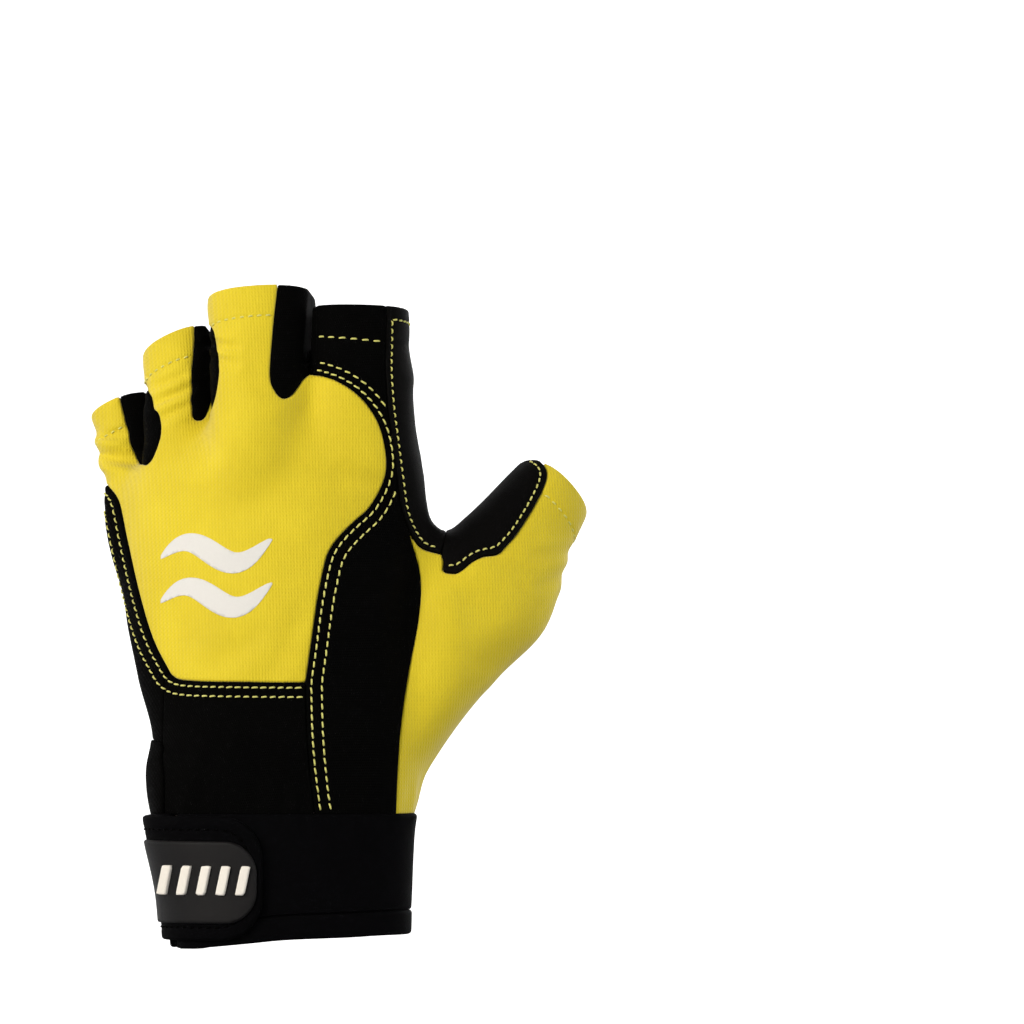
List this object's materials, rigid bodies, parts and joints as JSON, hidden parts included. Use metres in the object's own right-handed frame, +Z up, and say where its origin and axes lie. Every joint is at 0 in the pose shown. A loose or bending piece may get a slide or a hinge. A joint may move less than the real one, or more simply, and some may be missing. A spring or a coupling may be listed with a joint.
{
  "type": "fishing glove",
  "caption": "Half-finger fishing glove for the left hand, sewn from stretch cloth and suede panels, with a palm grip pad and a neoprene cuff closed by a strap.",
  "frame": {"origin": "middle of the wrist opening, at the lower edge of the cuff", "axes": "+Z up the hand to the fingers, +X to the thumb, +Y out of the palm, so the back of the hand faces -Y"},
  "size_m": [0.1312, 0.0751, 0.1733],
  "materials": {
    "yellow": "matte knitted stretch cloth",
    "stretch": "matte black stretch cloth",
    "leather": "matte black synthetic leather",
    "suede": "grey synthetic suede",
    "neoprene": "matte black neoprene",
    "grip": "black grip sheet with a raised honeycomb",
    "rubber": "matte dark grey moulded rubber",
    "mark": "matte off-white moulded rubber"
  },
  "bodies": {
    "root": {"gusset_index_middle": "stretch", "gusset_middle_ring": "stretch", "gusset_ring_little": "stretch", "index_side_strip": "leather", "thumb_patch": "leather", "back_panel": "yellow", "index_back_panel": "stretch", "thumb_panel": "yellow", "wrist_gusset": "stretch", "ulnar_strip": "stretch", "lower_back_panel": "stretch", "palm_panel": "suede", "cuff": "neoprene", "cuff_binding": "neoprene", "strap": "neoprene", "strap_tab": "rubber", "tab_bar_1": "mark", "tab_bar_2": "mark", "tab_bar_3": "mark", "tab_bar_4": "mark", "tab_bar_5": "mark", "grip_pad": "grip"}
  },
  "joints": []
}
